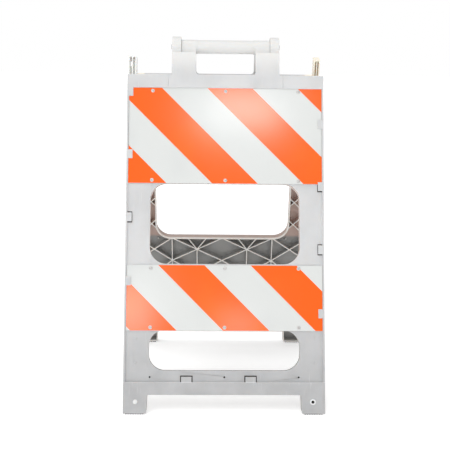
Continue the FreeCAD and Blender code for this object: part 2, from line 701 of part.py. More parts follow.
def rivets(label, front, holes):
    """Six blind rivets: domed heads, shanks through board and skin, and set tails."""
    body = new_body(label)
    heads, height = layer(body, f"{label}_heads", STRIPE_FACE, f"{STRIPE_FACE} + rivet_head_height")
    heads.grid(*holes, "rivet_head_radius")
    pad(body, heads, height)
    fillet(body, "rivet_dome", lies_at(f"{STRIPE_FACE} + rivet_head_height"))
    shanks, height = layer(body, f"{label}_shanks", f"{SEAT_BACK} - {OVERLAP}", STRIPE_FACE)
    shanks.grid(*holes, "rivet_radius")
    pad(body, shanks, height)
    tails, height = layer(body, f"{label}_tails", f"{SEAT_BACK} - rivet_tail_length", SEAT_BACK)
    tails.grid(*holes, "rivet_tail_radius")
    pad(body, tails, height)
    place_leaf(body, front)
    return body


def rail(side, front, name, top, bottom, start):
    """One reflective rail: board, white sheeting, orange film and rivets."""
    holes = rivet_grid(top, bottom)
    stem = f"{side}_{name}"
    film_top, film_bottom = f"({top} + sheeting_margin)", f"({bottom} - sheeting_margin)"
    return [
        flat_sheet(f"{stem}_rail_board", front, BOARD_HALF, top, bottom, "board_seat", BOARD_FACE, holes),
        flat_sheet(f"{stem}_white_sheeting", front, SHEETING_HALF, film_top, film_bottom,
                   BOARD_FACE, SHEETING_FACE, holes),
        stripe_film(f"{stem}_orange_stripes", front, start, film_top, film_bottom, holes),
        rivets(f"{stem}_rivets", front, holes)]


def foot_pads(side, front):
    """The two rubber pads under one leaf's feet, flat on the floor."""
    body = new_body(f"{side}_foot_pads")
    run = f"(hinge_height - foot_pad_thickness) * tan({TILT})"
    middle = f"({run} + (leaf_inner + leaf_face) / 2 / cos({TILT}))"
    near, far = f"{middle} - foot_pad_depth / 2", f"{middle} + foot_pad_depth / 2"
    pads = Profile(body, f"{side}_pads", plane="XY_Plane")
    inner = f"{LEAF_HALF} - foot_pad_inset - foot_pad_width / 2"
    outer = f"{LEAF_HALF} - foot_pad_inset + foot_pad_width / 2"
    if front:
        pads.both_sides(inner, outer, near, far)
    else:
        pads.both_sides(inner, outer, mirrored(far), mirrored(near))
    pad(body, pads, "foot_pad_thickness")
    return body


def hinge_rod():
    """The steel rod through the knuckles and the carry bar."""
    body = new_body("hinge_rod")
    rod = side_profile(body, "rod", "0").circle("0", "0", "rod_radius")
    pad(body, rod, f"2 * {ROD_HALF}", midplane=True)
    body.setExpression(".Placement.Base.z", tied("hinge_height"))
    return body


def hinge_rod_caps():
    """The push-on caps over the rod's two ends."""
    body = new_body("hinge_rod_caps")
    length = "(rod_end + cap_wall)"
    for side, outer, inner in (("left", f"-{CAP_INNER} - {length}", f"-{ROD_HALF}"),
                               ("right", CAP_INNER, CAP_INNER)):
        shell = side_profile(body, f"cap_{side}", outer).circle("0", "0", "cap_radius")
        pad(body, shell, length)
        seat = side_profile(body, f"cap_seat_{side}", inner).circle("0", "0", "rod_radius")
        cut = pocket(body, seat, "rod_end")
        cut.Reversed = True
    body.setExpression(".Placement.Base.z", tied("hinge_height"))
    return body


def checked(bodies):
    """Stop if any object failed, any shape is wrong, or any feature left its body as it was."""
    for item in document.Objects:
        if "Invalid" in item.State or "Error" in item.State:
            raise RuntimeError(f"{item.Label} failed: {item.State}")
    for body in bodies:
        if body.Shape.isNull() or not body.Shape.isValid():
            raise RuntimeError(f"{body.Label} has no valid shape")
        volume = 0.0
        for feature in body.Group:
            if not feature.isDerivedFrom("PartDesign::Feature"):
                continue
            change = feature.Shape.Volume - volume
            volume = feature.Shape.Volume
            grew = feature.isDerivedFrom("PartDesign::Pad") and change > 0
            shrank = feature.isDerivedFrom("PartDesign::Pocket") and change < 0
            rounded = feature.isDerivedFrom("PartDesign::Fillet") and change != 0
            if not (grew or shrank or rounded):
                raise RuntimeError(f"{body.Label}: {feature.Label} changed the volume by {change:.3f}")


def main():
    """Build every piece and write each one to its own file."""
    pieces = [hinge_rod(), hinge_rod_caps()]
    for side, front in (("front", True), ("rear", False)):
        pieces.append(leaf_moulding(side, front))
        pieces += rail(side, front, "upper", UPPER_TOP, UPPER_BOTTOM, "upper_stripe_start")
        pieces += rail(side, front, "lower", LOWER_TOP, LOWER_BOTTOM, "lower_stripe_start")
        pieces.append(foot_pads(side, front))
    document.recompute()
    checked(pieces)
    os.makedirs("parts", exist_ok=True)
    for piece in pieces:
        piece.Shape.exportStep(f"parts/{piece.Label}.step")
        print(f"{piece.Label:32s} {len(piece.Shape.Solids)} solids {piece.Shape.Volume:12.0f} mm3")


main()
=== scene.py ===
"""The looks of a folding plastic A-frame barricade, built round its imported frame.

The frame holds every size and place. This script gives each part its finish, swaps the small
hardware for finely made pieces of the same size and softens the mouldings' edges. Each leaf is measured
in its own drawing: across the hinge, down from the hinge axis and out from the plane where the
shut leaves meet.
"""
from __future__ import annotations

import json
import logging
import math
from collections.abc import Callable, Sequence
from dataclasses import dataclass, field
from enum import Enum

import bmesh
import bpy
from mathutils import Matrix, Vector


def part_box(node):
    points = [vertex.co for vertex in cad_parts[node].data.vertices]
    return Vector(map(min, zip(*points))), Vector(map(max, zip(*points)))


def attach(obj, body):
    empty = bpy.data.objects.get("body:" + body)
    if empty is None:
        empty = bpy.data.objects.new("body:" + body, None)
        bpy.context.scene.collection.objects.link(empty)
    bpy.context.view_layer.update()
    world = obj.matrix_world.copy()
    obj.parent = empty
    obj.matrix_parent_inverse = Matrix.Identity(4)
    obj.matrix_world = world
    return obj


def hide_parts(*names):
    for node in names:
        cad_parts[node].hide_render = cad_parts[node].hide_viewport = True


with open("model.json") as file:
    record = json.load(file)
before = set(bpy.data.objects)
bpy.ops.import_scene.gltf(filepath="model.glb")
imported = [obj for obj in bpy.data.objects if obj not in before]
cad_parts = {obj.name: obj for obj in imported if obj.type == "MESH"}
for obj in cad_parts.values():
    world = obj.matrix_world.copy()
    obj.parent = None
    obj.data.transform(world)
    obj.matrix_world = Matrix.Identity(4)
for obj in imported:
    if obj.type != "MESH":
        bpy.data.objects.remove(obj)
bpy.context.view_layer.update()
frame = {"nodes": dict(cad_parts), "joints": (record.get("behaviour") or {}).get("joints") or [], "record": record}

LOG = logging.getLogger("barricade")

# Patterns: the wave texture's own unit, and how fine scratches stretch, end and come in patches.
WAVE_UNIT = 2.0 * math.pi / 20.0
SCRATCH_STRETCH = 0.03
SCRATCH_EDGE = 0.05
SCRATCH_PATCHES = 7.0

# Places in a leaf's drawing, in metres. Back is negative out of the leaf, and up is negative down it.
RAIL_BLUR = 0.006
SHELL_DARK = (-0.82, -0.94)
LAMP_EDGE = (0.26, 0.27)
SIDE_SLOTS = (0.285, 0.3054)
SILL_SLOTS = 0.140
SLOT_DEPTH = (-0.03098, -0.0281)

# Where the painted highlight on the free edges starts, in depths of the ribs' edge, and how strongly the lamp
# bracket's painted light is mixed in.
EDGE_BLUR = 2.6
LAMP_SHARE = 0.95

# The stud and the socket of the feet: their middle, how near counts, how far out their faces get a painted
# highlight and how strong it is.
NEST_ASIDE = 0.273
NEST_RISE = 0.036
NEST_NEAR = 0.0105 ** 2
NEST_PROUD = (-0.0364, -0.0370)
NEST_HIGHLIGHT = 0.7
SOCKET_NEAR = 0.0048 ** 2
SOCKET_BORE = (-0.03768, -0.0230)

# The bottom band's top edge, which gets a painted highlight, and the pilot holes above it.
LEDGE_REACH = 0.0006
LEDGE_PROUD = (-0.0330, -0.0360)
LEDGE_HIGHLIGHT = 0.6
PILOT_RISE = 0.0152
PILOT_PITCH = 0.230
PILOT_REACH = 0.0031
PILOT_LIP = 0.00003
PILOT_DEPTH = 0.0195

# How squarely a face has to look along an axis to be picked.
SQUARE_ON = 0.9

Colour = tuple[float, float, float]
Place = tuple[float, float, float]
Socket = bpy.types.NodeSocket
Piece = bpy.types.Object
Spot = tuple[Socket, Socket, Socket]


class Side(Enum):
    """Which of the two leaves."""

    FRONT = "front"
    REAR = "rear"

    @property
    def body(self) -> str:
        """The name of the body that the leaf's pieces ride on."""
        return f"{self.value}_leaf"


class Rail(Enum):
    """Which of a leaf's two reflective rails."""

    UPPER = "upper"
    LOWER = "lower"


@dataclass(frozen=True)
class Span:
    """How far a node reaches in its leaf's drawing, in metres.

    Attributes:
        across: Leftmost and rightmost place along the hinge.
        down: Nearest and farthest place from the hinge axis.
        out: Innermost and outermost place from the plane between the shut leaves.
    """

    across: tuple[float, float]
    down: tuple[float, float]
    out: tuple[float, float]


@dataclass(frozen=True)
class Leaf:
    """The drawing of one leaf and its place in the row.

    Attributes:
        side: Which leaf it is.
        hinge_height: Height of the hinge axis over the floor.
        tilt: Angle between the leaf and the upright, in radians.
    """

    side: Side
    hinge_height: float
    tilt: float

    @classmethod
    def from_frame(cls, side: Side) -> Leaf:
        """Read a leaf's hinge and tilt from the frame.

        Args:
            side: Which leaf to read.

        Returns:
            The leaf as it stands open.
        """
        board = frame["nodes"][f"{side.value}_upper_rail_board"]
        face = max(board.data.polygons, key=lambda polygon: polygon.area)
        tilt = math.atan2(abs(face.normal.z), abs(face.normal.y))
        return cls(side, frame["joints"][0]["pos_m"][2], tilt)

    @property
    def to_row(self) -> Matrix:
        """The matrix that swings the shut leaf's drawing out to its place."""
        lift = Matrix.Translation((0.0, 0.0, self.hinge_height))
        if self.side is Side.FRONT:
            return lift @ Matrix.Rotation(-self.tilt, 4, "X")
        return lift @ Matrix.Rotation(self.tilt, 4, "X") @ Matrix.Rotation(math.pi, 4, "Z")

    def stand(self, across: float, down: float, out: float) -> Matrix:
        """Find where a piece modelled along +Z stands on the leaf.

        Args:
            across: Place along the hinge.
            down: Distance from the hinge axis.
            out: Distance from the plane between the shut leaves.

        Returns:
            The matrix that puts the piece there with its +Z pointing out of the leaf.
        """
        point = Matrix.Translation((across, -out, -down))
        return self.to_row @ point @ Matrix.Rotation(math.pi / 2, 4, "X")

    def span(self, node: str) -> Span:
        """Measure a node in the leaf's drawing.

        Args:
            node: The node's name.

        Returns:
            How far it reaches each way.
        """
        to_drawing = self.to_row.inverted()
        points = [to_drawing @ vertex.co for vertex in frame["nodes"][node].data.vertices]
        across, back, up = ([point[axis] for point in points] for axis in range(3))
        return Span((min(across), max(across)), (-max(up), -min(up)), (-max(back), -min(back)))

    def mount(self, name: str) -> Vector:
        """Find the place of one of the record's mounts in the leaf's drawing."""
        mounts = {mount["name"]: mount["pos_m"] for mount in frame["record"]["mounts"]}
        return self.to_row.inverted() @ Vector(mounts[f"{self.side.value}_{name}"])


class Shader:
    """A finish's node tree, with one short call for each step that the finishes share.

    Attributes:
        material: The material that the tree belongs to.
        surface: Its Principled shader.
        place: Where a point is, in the leaf's drawing or on the piece.
    """

    def __init__(self, name: str, leaf: Leaf | None = None) -> None:
        """Start a material.

        Args:
            name: The material's name.
            leaf: The leaf whose drawing the patterns follow, or None for the row's own axes.
        """
        self.material = bpy.data.materials.new(name)
        self.material.use_nodes = True
        self.nodes = self.material.node_tree.nodes
        self.surface = self.nodes["Principled BSDF"]
        self.place = self.nodes.new("ShaderNodeTexCoord").outputs["Object"]
        if leaf is not None:
            to_drawing = leaf.to_row.inverted()
            self.place = self.moved(to_drawing.translation, to_drawing.to_euler("XYZ"))

    def join(self, source: Socket | float | Sequence[float], target: Socket) -> None:
        """Link a socket to an input, or set the input to a plain value.

        Args:
            source: The socket or the value.
            target: The input.
        """
        if isinstance(source, bpy.types.NodeSocket):
            self.material.node_tree.links.new(source, target)
        else:
            target.default_value = source

    def set(self, **inputs: float | Sequence[float]) -> None:
        """Set plain values on the shader, each named as its socket with _ for a space."""
        for name, amount in inputs.items():
            self.surface.inputs[name.replace("_", " ")].default_value = amount

    def moved(self, shift: Sequence[float], turn: Sequence[float] = (0.0, 0.0, 0.0),
              scale: Sequence[float] = (1.0, 1.0, 1.0)) -> Socket:
        """Move, turn or stretch the place that a pattern reads.

        Args:
            shift: Distance moved along each axis.
            turn: Angle about each axis, in radians.
            scale: Factor along each axis.

        Returns:
            The changed place.
        """
        node = self.nodes.new("ShaderNodeMapping")
        self.join(self.place, node.inputs["Vector"])
        node.inputs["Location"].default_value = shift
        node.inputs["Rotation"].default_value = turn
        node.inputs["Scale"].default_value = scale
        return node.outputs["Vector"]

    def axes(self) -> Spot:
        """Split the place into its three numbers.

        Returns:
            The place along X, Y and Z.
        """
        node = self.nodes.new("ShaderNodeSeparateXYZ")
        self.join(self.place, node.inputs[0])
        return node.outputs[0], node.outputs[1], node.outputs[2]

    def sum(self, kind: str, first: Socket | float, second: Socket | float = 0.0) -> Socket:
        """Work out one step of arithmetic.

        Args:
            kind: The operation, as the Math node names it.
            first: Its first number.
            second: Its second number, where it has one.

        Returns:
            The result.
        """
        node = self.nodes.new("ShaderNodeMath")
        node.operation = kind
        self.join(first, node.inputs[0])
        self.join(second, node.inputs[1])
        return node.outputs[0]

    def within(self, amount: Socket, low: float, high: float) -> Socket:
        """Test whether a number lies between two limits.

        Args:
            amount: The number read.
            low: The lower limit.
            high: The upper limit.

        Returns:
            A number that is 1 between the limits and 0 elsewhere.
        """
        node = self.nodes.new("ShaderNodeMath")
        node.operation = "COMPARE"
        for target, source in zip(node.inputs, (amount, (low + high) / 2, (high - low) / 2)):
            self.join(source, target)
        return node.outputs[0]

    def fade(self, amount: Socket, start: float, end: float, low: float = 0.0, high: float = 1.0) -> Socket:
        """Turn a number into a smooth change between two levels.

        Args:
            amount: The number read.
            start: Where the change starts.
            end: Where it ends.
            low: The level before the start.
            high: The level after the end.

        Returns:
            The level.
        """
        node = self.nodes.new("ShaderNodeMapRange")
        node.interpolation_type = "SMOOTHSTEP"
        for target, source in zip(node.inputs[:5], (amount, start, end, low, high)):
            self.join(source, target)
        return node.outputs["Result"]

    def noise(self, scale: float, detail: float = 3.0, place: Socket | None = None) -> Socket:
        """Make a soft random pattern.

        Args:
            scale: Patches in a metre.
            detail: Octaves of finer patches.
            place: Where the pattern is read, if not at the plain place.

        Returns:
            A number about 0.5.
        """
        node = self.nodes.new("ShaderNodeTexNoise")
        self.join(place or self.place, node.inputs["Vector"])
        node.inputs["Scale"].default_value = scale
        node.inputs["Detail"].default_value = detail
        return node.outputs["Fac"]

    def specks(self, scale: float, place: Socket | None = None) -> Socket:
        """Scatter cells through space.

        Args:
            scale: Cells in a metre.
            place: Where the pattern is read, if not at the plain place.

        Returns:
            The distance from the middle of the nearest cell.
        """
        node = self.nodes.new("ShaderNodeTexVoronoi")
        self.join(place or self.place, node.inputs["Vector"])
        node.inputs["Scale"].default_value = scale
        return node.outputs["Distance"]

    def lines(self, pitch: float, turn: Sequence[float]) -> Socket:
        """Make straight evenly spaced lines across the leaf.

        Args:
            pitch: Distance between two lines.
            turn: Angle that the lines are turned by about each axis.

        Returns:
            A number that is 1 along each line and 0 between them.
        """
        node = self.nodes.new("ShaderNodeTexWave")
        node.bands_direction = "X"
        node.wave_profile = "SIN"
        self.join(self.moved((0.0, 0.0, 0.0), turn), node.inputs["Vector"])
        node.inputs["Scale"].default_value = WAVE_UNIT / pitch
        return node.outputs["Fac"]

    def mix(self, share: Socket | float, first: Socket | Colour, second: Socket | Colour) -> Socket:
        """Blend two colours.

        Args:
            share: How much of the second colour.
            first: The colour at 0.
            second: The colour at 1.

        Returns:
            The blended colour.
        """
        node = self.nodes.new("ShaderNodeMix")
        node.data_type = "RGBA"
        self.join(share, node.inputs["Factor"])
        for target, source in ((node.inputs[6], first), (node.inputs[7], second)):
            self.join((*source, 1.0) if isinstance(source, tuple) else source, target)
        return node.outputs[2]

    def bump(self, *layers: tuple[Socket, float]) -> None:
        """Raise the surface by one or more patterns.

        Args:
            layers: Each pattern with its height in metres.
        """
        normal = None
        for height, distance in layers:
            node = self.nodes.new("ShaderNodeBump")
            self.join(height, node.inputs["Height"])
            node.inputs["Distance"].default_value = distance
            if normal is not None:
                self.join(normal, node.inputs["Normal"])
            normal = node.outputs["Normal"]
        self.join(normal, self.surface.inputs["Normal"])

    def scratches(self, turn: Sequence[float], scale: float, least: float) -> Socket:
        """Make fine straight scratches that come and go.

        Args:
            turn: Angle that they are turned by about each axis.
            scale: How many there are in a metre.
            least: How strong a streak has to be before it shows.

        Returns:
            A number that is 1 in a scratch and 0 beside it.
        """
        stretched = self.moved((0.0, 0.0, 0.0), turn, (1.0, 1.0, SCRATCH_STRETCH))
        streaks = self.fade(self.noise(scale, 2.0, stretched), least, least + SCRATCH_EDGE)
        patches = self.fade(self.noise(SCRATCH_PATCHES, 2.0), 0.45, 0.62)
        return self.sum("MULTIPLY", streaks, patches)


@dataclass(frozen=True)
class MouldedPlastic:
    """White polyethylene out of the mould and out in the weather.

    Attributes:
        clean: Colour of the plastic itself.
        cloud: Colour of its duller patches.
        scratch_and_highlight: Colour of fine scratches, and of the painted highlights on the feet's stud and ring
            and on the bottom band's top edge.
        lit_yellowed_top: Colour of the tops: painted lighter as a highlight from above, and a little yellowed by
            the sun.
        grey_patch: Colour that the plastic darkens to towards the bottom, in patches: painted shade together with
            road dirt.
        shade_glow: Painted colour inside the shell's open back: darker for the shade in it, and tinted brown for
            light that comes through the skin.
        shade: Colour inside the shell behind a board.
        edge_highlight: Painted highlight on the ribs' and walls' free edges, seen from inside.
        lamp_lit_white: Colour of the front leaf's thin lamp bracket, painted light to lift the shade in its deep
            cells.
        lamp_glow_cream: Colour of the rear leaf's, painted cream as light that comes through its thin walls.
        hole_shade: Near-black painted shade down in the clip slots, the pilot holes and the socket.
        skin_back: How far out the inside of the skin lies.
        rib_edge: How far out the ribs' free edges lie.
        outer_wall: Half the leaf's width, less the least that counts as inside.
        shoulder: How far down the shell's open back starts.
    """

    clean: Colour = (0.585, 0.589, 0.593)
    cloud: Colour = (0.525, 0.531, 0.537)
    scratch_and_highlight: Colour = (0.800, 0.800, 0.800)
    lit_yellowed_top: Colour = (0.690, 0.688, 0.676)
    grey_patch: Colour = (0.340, 0.342, 0.347)
    shade_glow: Colour = (0.460, 0.345, 0.300)
    shade: Colour = (0.280, 0.278, 0.270)
    edge_highlight: Colour = (0.720, 0.690, 0.655)
    lamp_lit_white: Colour = (0.800, 0.800, 0.775)
    lamp_glow_cream: Colour = (0.930, 0.830, 0.700)
    hole_shade: Colour = (0.012, 0.011, 0.010)
    skin_back: float = 0.0278
    rib_edge: float = 0.0042
    outer_wall: float = 0.3104
    shoulder: float = 0.1006

    def material(self, leaf: Leaf) -> bpy.types.Material:
        """Mix the finish for one leaf's moulding.

        Args:
            leaf: The leaf it goes on.

        Returns:
            The material.
        """
        shader = Shader(f"{leaf.side.value}_white_plastic", leaf)
        spot = shader.axes()
        across, back, up = spot
        clouds = shader.fade(shader.noise(7.0, 5.0), 0.36, 0.70)
        streaks = shader.noise(1.0, 3.0, shader.moved((0.0, 0.0, 0.0), scale=(70.0, 70.0, 5.0)))
        colour = shader.mix(clouds, self.clean, self.cloud)
        colour = shader.mix(shader.fade(streaks, 0.5, 0.8, 0.0, 0.25), colour, self.cloud)
        # The tops near the hinge get a painted highlight from above, and are a little yellowed.
        colour = shader.mix(shader.fade(up, -0.11, -0.03), colour, self.lit_yellowed_top)
        # Darker towards the bottom, in patches: painted shade together with road dirt.
        low = shader.fade(up, -0.60, -1.22, 0.05, 0.80)
        shade_and_dirt = shader.sum("MULTIPLY", low, shader.fade(shader.noise(22.0, 6.0), 0.20, 0.85, 0.80, 1.15))
        colour = shader.mix(shade_and_dirt, colour, self.grey_patch)
        marks = self.marks(shader)
        colour = shader.mix(marks, colour, self.scratch_and_highlight)
        aside = shader.sum("ABSOLUTE", across)
        # The lamp brackets get painted light: lighter for the front one's shaded cells, cream for light through
        # the rear one's walls.
        thin = self.lamp_lit_white if leaf.side is Side.FRONT else self.lamp_glow_cream
        lamp = shader.sum("MULTIPLY", shader.within(up, -self.shoulder, 0.0),
                          shader.fade(aside, *LAMP_EDGE, 0.0, LAMP_SHARE))
        colour = shader.mix(lamp, colour, thin)
        # Painted highlights on the feet's stud and ring and on the bottom band's top edge.
        colour = shader.mix(self.painted_highlights(shader, leaf, spot), colour, self.scratch_and_highlight)
        # Inside the open back, the colour is painted light and shade.
        inside = self.inside(shader, spot)
        colour = shader.mix(inside, colour, self.inside_shading(shader, leaf, back, up))
        # Painted shade: the clip slots, the pilot holes and the socket are coloured near black.
        colour = shader.mix(self.hole_shading(shader, leaf, spot), colour, self.hole_shade)
        shader.join(colour, shader.surface.inputs["Base Color"])
        shader.join(shader.fade(clouds, 0.0, 1.0, 0.38, 0.50), shader.surface.inputs["Roughness"])
        shader.bump((shader.noise(900.0, 2.0), 0.00006), (shader.noise(45.0, 2.0), 0.0004), (marks, -0.00005))
        shader.set(Subsurface_Weight=0.35, Subsurface_Radius=(1.0, 0.78, 0.62), Subsurface_Scale=0.006,
                   IOR=1.5)
        return shader.material

    def marks(self, shader: Shader) -> Socket:
        """Make the scuffs and scratches of handling and stacking.

        Args:
            shader: The finish being mixed.

        Returns:
            A number above 0 along each scratch.
        """
        leaning = shader.scratches((0.0, 0.5, 0.0), 420.0, 0.66)
        upright = shader.scratches((0.0, -0.2, 0.0), 520.0, 0.68)
        both = shader.sum("MAXIMUM", leaning, upright)
        return shader.sum("MULTIPLY", both, 0.28)

    def inside(self, shader: Shader, spot: Spot) -> Socket:
        """Tell the inside of the shell's open back from its outside.

        Args:
            shader: The finish being mixed.
            spot: The point's places across, back and up.

        Returns:
            A number that is 1 inside and 0 outside.
        """
        across, back, up = spot
        behind = shader.sum("GREATER_THAN", back, -self.skin_back)
        within = shader.sum("LESS_THAN", shader.sum("ABSOLUTE", across), self.outer_wall)
        below = shader.sum("LESS_THAN", up, -self.shoulder)
        return shader.sum("MULTIPLY", shader.sum("MULTIPLY", behind, within), below)

    def inside_shading(self, shader: Shader, leaf: Leaf, back: Socket, up: Socket) -> Socket:
        """Paint the inside's light and shade: a brownish glow in the open, darker shade behind the boards and low
        down, highlights at the free edges.

        Args:
            shader: The finish being mixed.
            leaf: The leaf it goes on.
            back: Place towards the other leaf.
            up: Height from the hinge axis.

        Returns:
            The inside's colour.
        """
        colour: Socket | Colour = self.shade_glow
        for rail in Rail:
            top, bottom = leaf.span(f"{leaf.side.value}_{rail.value}_rail_board").down
            below = shader.fade(up, -top + RAIL_BLUR, -top - RAIL_BLUR)
            above = shader.fade(up, -bottom - RAIL_BLUR, -bottom + RAIL_BLUR)
            colour = shader.mix(shader.sum("MULTIPLY", below, above), colour, self.shade)
        # Painted shade low down inside the shell.
        colour = shader.mix(shader.fade(up, *SHELL_DARK), colour, self.shade)
        # Painted highlight on the free edges of the ribs and walls.
        free = shader.fade(back, -EDGE_BLUR * self.rib_edge, -self.rib_edge)
        return shader.mix(free, colour, self.edge_highlight)

    def nest_gap(self, shader: Shader, leaf: Leaf, sideways: Socket, up: Socket) -> Socket:
        """Work out how far a point is from the middle of a foot's stud or socket.

        Args:
            shader: The finish being mixed.
            leaf: The leaf it goes on.
            sideways: Place along the hinge, or its size alone to reach both feet.
            up: Height from the hinge axis.

        Returns:
            The square of the distance, measured flat on the leaf's face.
        """
        level = NEST_RISE - leaf.span(f"{leaf.side.value}_leaf_moulding").down[1]
        spread = shader.sum("POWER", shader.sum("SUBTRACT", sideways, NEST_ASIDE), 2.0)
        rise = shader.sum("POWER", shader.sum("SUBTRACT", up, level), 2.0)
        return shader.sum("ADD", spread, rise)

    def painted_highlights(self, shader: Shader, leaf: Leaf, spot: Spot) -> Socket:
        """Find where a highlight is painted: on the stud and ring of the feet and on the raised top edge of the
        bottom band.

        Args:
            shader: The finish being mixed.
            leaf: The leaf it goes on.
            spot: The point's places across, back and up.

        Returns:
            A number above 0 where a highlight is painted pale.
        """
        across, back, up = spot
        gap = self.nest_gap(shader, leaf, shader.sum("ABSOLUTE", across), up)
        near = shader.fade(gap, NEST_NEAR, 0.5 * NEST_NEAR, 0.0, NEST_HIGHLIGHT)
        ledge = leaf.mount("pilot_holes").z - PILOT_RISE
        edge = shader.sum("MULTIPLY", shader.within(up, ledge - LEDGE_REACH, ledge + LEDGE_REACH),
                          shader.fade(back, *LEDGE_PROUD, 0.0, LEDGE_HIGHLIGHT))
        return shader.sum("MAXIMUM", shader.sum("MULTIPLY", near, shader.fade(back, *NEST_PROUD)), edge)

    def hole_shading(self, shader: Shader, leaf: Leaf, spot: Spot) -> Socket:
        """Find where the clip slots, the pilot holes and the socket are painted near black as shade.

        Args:
            shader: The finish being mixed.
            leaf: The leaf it goes on.
            spot: The point's places across, back and up.

        Returns:
            A number that is 1 where the shade is painted and 0 elsewhere.
        """
        across, back, up = spot
        pilots = leaf.mount("pilot_holes")
        top, ledge = -leaf.span(f"{leaf.side.value}_upper_rail_board").down[0], pilots.z - PILOT_RISE
        aside = shader.sum("ABSOLUTE", across)
        beside = shader.sum("MULTIPLY", shader.within(aside, *SIDE_SLOTS), shader.within(up, ledge, top))
        sill = shader.sum("MULTIPLY", shader.within(aside, 0.0, SILL_SLOTS),
                          shader.within(up, ledge, pilots.z + PILOT_RISE / 2))
        slots = shader.sum("MULTIPLY", shader.sum("MAXIMUM", beside, sill), shader.within(back, *SLOT_DEPTH))
        rows = shader.sum("MAXIMUM", shader.within(across, -PILOT_REACH, PILOT_REACH),
                          shader.within(aside, PILOT_PITCH - PILOT_REACH, PILOT_PITCH + PILOT_REACH))
        level = shader.within(up, pilots.z - PILOT_REACH, pilots.z + PILOT_REACH)
        deep = shader.within(back, pilots.y + PILOT_LIP, pilots.y + PILOT_DEPTH)
        bores = shader.sum("MULTIPLY", shader.sum("MULTIPLY", rows, level), deep)
        socket = shader.sum("LESS_THAN", self.nest_gap(shader, leaf, across, up), SOCKET_NEAR)
        socket = shader.sum("MULTIPLY", socket, shader.within(back, *SOCKET_BORE))
        return shader.sum("MAXIMUM", shader.sum("MAXIMUM", slots, bores), socket)


@dataclass(frozen=True)
class RailBoard:
    """Flat extruded plastic board, seen at its edges and its back.

    Attributes:
        face: Colour of the board.
        worn: Colour where it is dirty.
    """

    face: Colour = (0.62, 0.63, 0.63)
    worn: Colour = (0.44, 0.44, 0.43)

    def material(self, leaf: Leaf) -> bpy.types.Material:
        """Mix the finish for one leaf's boards.

        Args:
            leaf: The leaf they are on.

        Returns:
            The material.
        """
        shader = Shader(f"{leaf.side.value}_rail_board", leaf)
        drawn = shader.noise(1.0, 4.0, shader.moved((0.0, 0.0, 0.0), scale=(4.0, 60.0, 160.0)))
        colour = shader.mix(shader.fade(drawn, 0.35, 0.75), self.face, self.worn)
        shader.join(colour, shader.surface.inputs["Base Color"])
        shader.join(shader.fade(drawn, 0.3, 0.8, 0.45, 0.62), shader.surface.inputs["Roughness"])
        shader.bump((drawn, 0.00008))
        return shader.material


@dataclass(frozen=True)
class PrismaticSheeting:
    """Retroreflective sheeting: tiny prisms sealed to their backing along a lattice, under clear film.

    Attributes:
        name: What the finish is called.
        film: Colour of a cell.
        seal: Colour along the lattice's sealed lines.
        faded: Colour where the film is dull.
        pitch: Distance between two sealed lines.
        lean: Angle of the lines from the upright.
        coat: How much the clear film shines.
        gloss: How much the face under the film shines.
    """

    name: str
    film: Colour
    seal: Colour
    faded: Colour
    pitch: float = 0.0042
    lean: float = math.radians(31.0)
    coat: float = 0.55
    gloss: float = 0.1

    def material(self, leaf: Leaf) -> bpy.types.Material:
        """Mix the finish for one leaf's sheeting.

        Args:
            leaf: The leaf it goes on.

        Returns:
            The material.
        """
        shader = Shader(f"{leaf.side.value}_{self.name}", leaf)
        rising, falling = (shader.lines(self.pitch, (0.0, turn, 0.0)) for turn in (self.lean, -self.lean))
        lattice = shader.fade(shader.sum("MAXIMUM", rising, falling), 0.93, 0.995)
        prisms = shader.lines(self.pitch / 9.0, (0.0, math.pi / 2, 0.0))
        clouds = shader.fade(shader.noise(5.0, 4.0), 0.42, 0.72)
        dirt = shader.fade(shader.noise(60.0, 6.0), 0.60, 0.80, 0.0, 0.35)
        spots = shader.sum("MULTIPLY", shader.fade(shader.specks(110.0), 0.10, 0.04), 0.6)
        colour = shader.mix(shader.sum("MULTIPLY", lattice, 0.55), self.film, self.seal)
        colour = shader.mix(shader.sum("MULTIPLY", clouds, 0.5), colour, self.faded)
        worn = shader.sum("MULTIPLY", shader.fade(shader.noise(4.0, 2.0), 0.50, 0.70), spots)
        colour = shader.mix(shader.sum("MULTIPLY", dirt, clouds), colour, self.seal)
        colour = shader.mix(worn, colour, self.seal)
        shader.join(colour, shader.surface.inputs["Base Color"])
        shader.join(shader.fade(clouds, 0.0, 1.0, 0.30, 0.42), shader.surface.inputs["Roughness"])
        shader.bump((lattice, -0.00004), (prisms, 0.00001), (shader.noise(14.0, 2.0), 0.0012))
        shader.set(Coat_Weight=self.coat, Coat_Roughness=0.16, IOR=1.49, Specular_IOR_Level=self.gloss)
        return shader.material


@dataclass(frozen=True)
class Metal:
    """Bare or plated metal hardware.

    Attributes:
        name: What the finish is called.
        bright: Colour of clean metal.
        dull: Colour of tarnish.
        smooth: Roughness where it is clean.
        rough: Roughness where it is dull.
        grain: Stretch of the pattern along each axis.
    """

    name: str
    bright: Colour
    dull: Colour
    smooth: float
    rough: float
    grain: tuple[float, float, float] = (1.0, 1.0, 1.0)

    def material(self) -> bpy.types.Material:
        """Mix the finish.

        Returns:
            The material.
        """
        shader = Shader(self.name)
        grain = shader.moved((0.0, 0.0, 0.0), scale=self.grain)
        tarnish = shader.fade(shader.noise(420.0, 5.0, grain), 0.4, 0.7)
        spangle = shader.specks(600.0)
        colour = shader.mix(tarnish, self.bright, self.dull)
        shader.join(colour, shader.surface.inputs["Base Color"])
        roughness = shader.fade(tarnish, 0.0, 1.0, self.smooth, self.rough)
        shader.join(roughness, shader.surface.inputs["Roughness"])
        shader.bump((tarnish, 0.00002), (spangle, 0.00001))
        shader.set(Metallic=1.0)
        return shader.material


